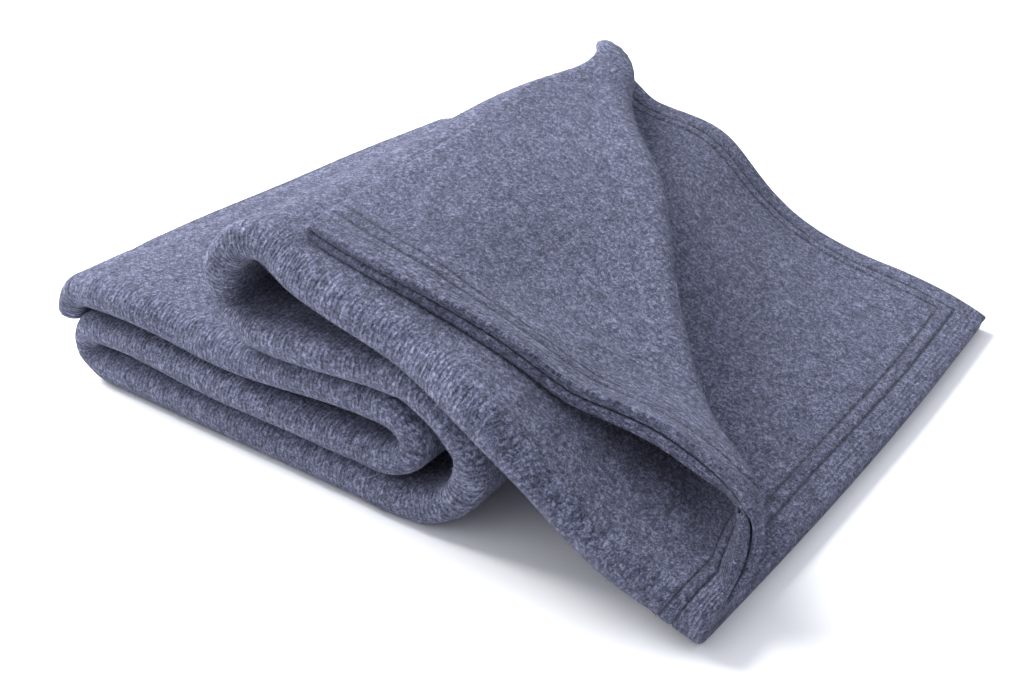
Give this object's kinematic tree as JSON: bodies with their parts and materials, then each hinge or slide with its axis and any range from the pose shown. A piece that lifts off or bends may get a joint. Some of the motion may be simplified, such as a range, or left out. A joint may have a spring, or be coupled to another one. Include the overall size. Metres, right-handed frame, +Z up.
{
  "type": "folded wool blanket",
  "caption": "Brushed knit wool blanket, folded in four lengthwise, laid to and fro in flat runs, with the end corner turned over.",
  "frame": {"origin": "on the surface that the blanket lies on, under the middle of its bounding box", "axes": "+Z up; X along the front edge of the stack towards the end hem, Y away from the front edge"},
  "size_m": [0.3962, 0.3376, 0.1254],
  "materials": {
    "wool": "brushed heather blue-grey knit, matt"
  },
  "bodies": {
    "root": {"blanket": "wool"}
  },
  "joints": []
}
